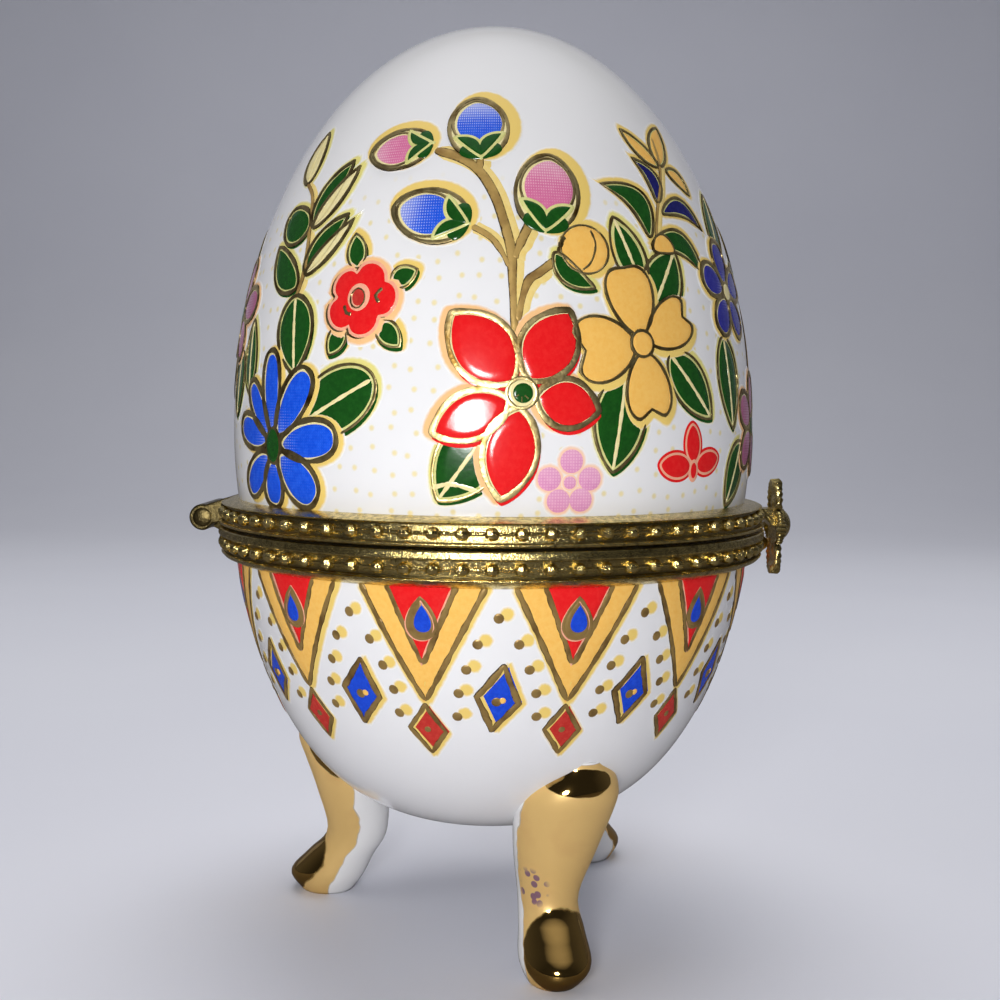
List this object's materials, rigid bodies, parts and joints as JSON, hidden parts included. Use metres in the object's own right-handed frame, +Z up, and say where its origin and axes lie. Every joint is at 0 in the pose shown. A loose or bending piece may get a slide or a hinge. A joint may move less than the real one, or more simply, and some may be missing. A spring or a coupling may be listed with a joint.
{
  "type": "trinket box",
  "caption": "Footed egg-shaped porcelain trinket box: a domed lid hinged to a cup by beaded gilt brass bezels and held shut by a sprung flower clasp, standing on curved gilded feet.",
  "frame": {"origin": "on the egg's axis, on the surface that the feet stand on", "axes": "+X towards the clasp and -X towards the hinge, +Y towards the back, +Z up"},
  "size_m": [0.067, 0.0608, 0.0983],
  "materials": {
    "porcelain": "clear glaze over white porcelain, with fired floral transfers",
    "gilding": "bright gold lustre fired on glazed porcelain",
    "gilt_brass": "polished and gilt, darkened in the recesses"
  },
  "bodies": {
    "base": {"base_shell": "porcelain", "foot_front": "gilding", "foot_back": "gilding", "foot_left": "gilding", "base_bezel": "gilt_brass", "base_bead_row": "gilt_brass", "base_hinge_leaf": "gilt_brass", "catch_stud": "gilt_brass"},
    "lid": {"lid_shell": "porcelain", "lid_bezel": "gilt_brass", "lid_bead_row": "gilt_brass", "lid_hinge_leaf": "gilt_brass", "hinge_pin": "gilt_brass"},
    "clasp": {"clasp_arm": "gilt_brass", "clasp_flower": "gilt_brass", "clasp_boss": "gilt_brass"}
  },
  "joints": [
    {"name": "lid_hinge", "type": "hinge", "parent": "base", "child": "lid", "pos_m": [-0.03169, 0, 0.045], "axis": [0, -1, 0], "range_deg": [0, 95]},
    {"name": "clasp_flex", "type": "hinge", "parent": "lid", "child": "clasp", "pos_m": [0.0307, 0, 0.0459], "axis": [0, -1, 0], "range_deg": [0, 8], "stiffness_Nm_per_rad": 0.03}
  ]
}
